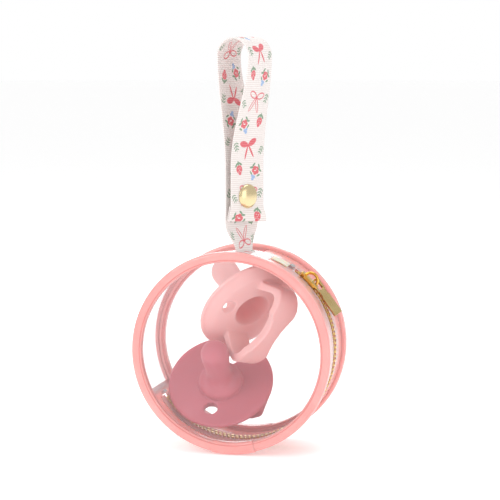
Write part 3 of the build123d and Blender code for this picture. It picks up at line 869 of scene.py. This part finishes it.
REPEAT = 40.0                # millimetres of ribbon in which the print repeats, in two rows
grosgrain, tree, shader = finish_material("grosgrain", Roughness=0.8, Sheen_Weight=0.25,
                                          Specular_IOR_Level=0.25)
flat = node(tree, "SeparateXYZ", {0: node(tree, "UVMap").outputs[0]})
across, along = flat.outputs["Y"], flat.outputs["X"]
row = node(tree, "Math", {0: along, 1: REPEAT / 2, 2: 0.0}, operation="WRAP").outputs[0]
whole_row = node(tree, "Math", {0: along, 1: REPEAT, 2: 0.0}, operation="WRAP").outputs[0]
odd = node(tree, "Math", {0: whole_row, 1: REPEAT / 2}, operation="GREATER_THAN").outputs[0]
even = node(tree, "Math", {0: 1.0, 1: odd}, operation="SUBTRACT").outputs[0]
swap = node(tree, "MapRange", {"Value": odd, "To Min": 1.0, "To Max": -1.0}).outputs["Result"]
swapped = node(tree, "Math", {0: across, 1: swap}, operation="MULTIPLY").outputs[0]
centred = node(tree, "CombineXYZ", {"X": across, "Y": row}).outputs[0]
sided = node(tree, "CombineXYZ", {"X": swapped, "Y": row}).outputs[0]


def stamp(motif, vector, x, y, turn, size):
    """Print a motif x across and y along its row, in millimetres, turned and enlarged."""
    local = node(tree, "Mapping", {"Vector": vector, "Location": (x, y, 0),
                                   "Rotation": (0, 0, math.radians(turn)), "Scale": (size, size, 1)},
                 vector_type="TEXTURE")
    made = node(tree, "Group", node_tree=motif)
    tree.links.new(local.outputs[0], made.inputs["Vector"])
    return made.outputs


line_bow = sums(tree, "MULTIPLY", stamp(bow_line, centred, 0.3, 4.6, 8, 1.1)["Mask"], even)
full_bow = sums(tree, "MULTIPLY", stamp(bow_fill, centred, -0.2, 4.6, -10, 1.08)["Mask"], odd)
red = sums(tree, "MAXIMUM", line_bow, full_bow)
one_berry = stamp(berry, sided, 4.6, 14.8, 14, 1.12)
red = sums(tree, "MAXIMUM", red, one_berry["Red"])
one_rose = stamp(rose, sided, -4.4, 15.4, -16, 1.0)
red = sums(tree, "MAXIMUM", red, one_rose["Red"])
green = sums(tree, "MAXIMUM", one_berry["Green"], one_rose["Green"])
green = sums(tree, "MAXIMUM", green, stamp(sprig, sided, 6.9, 5.2, 20, 1.0)["Mask"])
green = sums(tree, "MAXIMUM", green, stamp(sprig, sided, -7.1, 7.0, -32, 0.9)["Mask"])
height, shade = threads(tree, 0.85, 0.4)
# the darker colour is painted shade in the grooves between the ribs; the print is dimmed there with it
tone = node(tree, "Mix", {"Factor": shade, 6: colour(224, 212, 208), 7: colour(247, 242, 239)},
            data_type="RGBA").outputs[2]
weave_shade_on_print = node(tree, "MapRange", {"Value": shade, "To Min": 0.72, "To Max": 1.0}).outputs["Result"]
for mask, dye in ((green, colour(112, 150, 118)), (one_rose["Blue"], colour(150, 182, 226)),
                  (red, colour(222, 82, 96))):
    amount = node(tree, "Math", {0: mask, 1: weave_shade_on_print}, operation="MULTIPLY")
    tone = node(tree, "Mix", {"Factor": amount.outputs[0], 6: tone, 7: dye}, data_type="RGBA").outputs[2]
tree.links.new(tone, shader.inputs["Base Color"])
bump = node(tree, "Bump", {"Height": height, "Strength": 0.6, "Distance": 0.16 * MM})
tree.links.new(bump.outputs["Normal"], shader.inputs["Normal"])

put_material(ribbon_back, grosgrain)
put_material(ribbon_front, grosgrain)
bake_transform(ribbon_back)
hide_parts("strap_foot", "strap_back_strand")
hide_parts("strap_crown", "strap_front_strand")
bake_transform(ribbon_front)

TAB_HALF = 7.6 * MM          # the sewn end of the ribbon, under the strap's foot
TAB_FROM, TAB_TO = -1.5, 8.2
TAB_R = 41.65 * MM
TAB_MIDDLE = -6.0 * MM
TAB_T = 0.5 * MM
TAB_WAVE = 0.06 * MM
tab_len = math.radians(TAB_TO - TAB_FROM) * TAB_R


def tab_place(u, v):
    """Round the drum by u under the strap's foot, along its axis by v."""
    radius = TAB_R + TAB_WAVE * math.sin(v / MM)
    return on_drum(TAB_FROM + math.degrees(u / TAB_R), radius, TAB_MIDDLE + v)


ribbon_tab = cloth("ribbon_tab", tab_len, 2 * TAB_HALF, 0.6 * MM, tab_place, TAB_T)
put_material(ribbon_tab, grosgrain)
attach(ribbon_tab, "case_front")
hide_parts("strap_tab")


# ---- Snap --------------------------------------------------------------------
# A pressed brass snap: a domed cap and its socket on the front strand, a stud and
# its rivet on the back one. The cap is raised from a disc, ring by ring.

SNAP_TURN = math.radians(SNAP_FACING)
SNAP_OUT = Vector((math.sin(SNAP_TURN), -math.cos(SNAP_TURN), 0))
SNAP_ACROSS = Vector((math.cos(SNAP_TURN), math.sin(SNAP_TURN), 0))


def snap_place(out):
    """Axes at the snap, out from the loop's middle: Z is the way that the cap faces."""
    axes = Matrix((SNAP_ACROSS, SNAP_OUT.cross(SNAP_ACROSS), SNAP_OUT)).transposed().to_4x4()
    return Matrix.Translation(SNAP_OUT * out + Vector((0, 0, SNAP_Z))) @ axes


def turned(name, rings, matrix):
    """A round piece raised ring by ring: each ring is (radius, height) in metres."""
    bpy.ops.object.select_all(action="DESELECT")
    radius, low = rings[0]
    bpy.ops.mesh.primitive_circle_add(vertices=64, radius=radius, fill_type="NGON", location=(0, 0, low))
    piece = bpy.context.object
    piece.name = name
    bpy.ops.object.transform_apply(location=True)
    pick(piece, lambda centre, normal: True)
    for wide, high in rings[1:]:
        bpy.ops.mesh.extrude_region_move(TRANSFORM_OT_translate={"value": (0, 0, high - low)})
        bpy.ops.transform.resize(value=(wide / radius, wide / radius, 1))
        radius, low = wide, high
    bpy.ops.mesh.select_all(action="SELECT")
    bpy.ops.mesh.normals_make_consistent(inside=False)
    bpy.ops.object.mode_set(mode="OBJECT")
    place_piece(piece, matrix)
    return piece


snap_champagne = metal("snap_champagne", colour(236, 218, 176), colour(226, 204, 156), 0.2, 120.0)
DOME = [(4.6, -0.05), (5.0, 0.1), (5.05, 0.35), (4.9, 0.62), (4.5, 0.95), (3.9, 1.3), (3.1, 1.6),
        (2.1, 1.84), (1.0, 1.98), (0.25, 2.0)]           # each ring's radius and height, in millimetres
cap = turned("snap_dome", [(r * MM, h * MM) for r, h in DOME], snap_place(SNAP_S + RIBBON_T / 2))
put_material(cap, snap_champagne)
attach(cap, "strap_flap")
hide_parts("snap_cap")
dress(snap_champagne, "snap_socket", "snap_stud", "snap_rivet")


# ---- Soothers ----------------------------------------------------------------
# Two one-piece moulded silicone soothers with bow-shaped handles. All edges come
# out of the mould softly rounded and the surface is matt, with a soft waxy depth.

VOXEL = 0.42 * MM
SOFTENING = 0.5
SOFTENED_TIMES = 6
ROSE_MIDDLE = (-12.5 * MM, 9.2 * MM, -149.1 * MM)        # mouths of the hollow nipples
BLUSH_MIDDLE = (0.67 * MM, 5.63 * MM, -114.36 * MM)
# how far from each mouth the painted shade inside the nipple reaches
ROSE_REACH, BLUSH_REACH = 4 * MM, 9 * MM


def silicone(name, light, hollow_shade, glow, centre, reach):
    """Matt silicone; inside the hollow nipple, whose mouth is at centre, the colour is painted deeper as
    shade and as glow of light through the silicone.
    """
    made, tree, shader = finish_material(name, Subsurface_Weight=0.45, Subsurface_Scale=2.5 * MM,
                                         Sheen_Weight=0.12, Specular_IOR_Level=0.4)
    shader.inputs["Subsurface Radius"].default_value = glow
    place = node(tree, "TexCoord").outputs["Object"]
    cloud = node(tree, "TexNoise", {"Vector": place, "Scale": 90.0, "Detail": 3.0})
    far = node(tree, "VectorMath", {0: place, 1: centre}, operation="DISTANCE")
    # painted shade and painted glow of light through the silicone, strongest inside the nipple's mouth
    inside = node(tree, "MapRange", {"Value": far.outputs["Value"],
                                     "From Min": reach, "From Max": reach * 0.6})
    mixed = node(tree, "Math", {0: cloud.outputs["Fac"], 1: 0.14, 2: inside.outputs["Result"]},
                 operation="MULTIPLY_ADD", use_clamp=True)
    tone = node(tree, "Mix", {"Factor": mixed.outputs[0], 6: light, 7: hollow_shade}, data_type="RGBA")
    tree.links.new(tone.outputs[2], shader.inputs["Base Color"])
    matt = node(tree, "MapRange", {"Value": cloud.outputs["Fac"], "To Min": 0.4, "To Max": 0.55})
    tree.links.new(matt.outputs["Result"], shader.inputs["Roughness"])
    grain = node(tree, "TexNoise", {"Vector": place, "Scale": 1400.0, "Detail": 2.0})
    bump = node(tree, "Bump", {"Height": grain.outputs["Fac"], "Strength": 0.06, "Distance": 0.04 * MM})
    tree.links.new(bump.outputs["Normal"], shader.inputs["Normal"])
    return made


def moulded(name, source):
    """The soother's shape with every edge softened, as it comes out of the mould."""
    piece = cad[source].copy()
    piece.data = cad[source].data.copy()
    for key in list(piece.keys()):
        del piece[key]
    piece.parent = None
    piece.name = name
    bpy.context.scene.collection.objects.link(piece)
    pick(piece, lambda centre, normal: True)
    bpy.ops.mesh.remove_doubles(threshold=0.001 * MM)
    bpy.ops.object.mode_set(mode="OBJECT")
    remesh = piece.modifiers.new("even", "REMESH")
    remesh.mode = "VOXEL"
    remesh.voxel_size = VOXEL
    smooth = piece.modifiers.new("softened", "SMOOTH")
    smooth.factor = SOFTENING
    smooth.iterations = SOFTENED_TIMES
    apply_all(piece)
    return piece


# each soother's second colour is the painted shade inside its hollow nipple
rose_silicone = silicone("rose_silicone", colour(205, 106, 119), colour(182, 84, 98), (1.0, 0.3, 0.3),
                         ROSE_MIDDLE, ROSE_REACH)
blush_silicone = silicone("blush_silicone", colour(243, 190, 187), colour(238, 128, 122), (1.0, 0.5, 0.45),
                          BLUSH_MIDDLE, BLUSH_REACH)
for name, finish in (("rose", rose_silicone), ("blush", blush_silicone)):
    soother = moulded(name + "_pacifier", name + "_soother")
    put_material(soother, finish)
    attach(soother, name)
    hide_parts(name + "_soother")
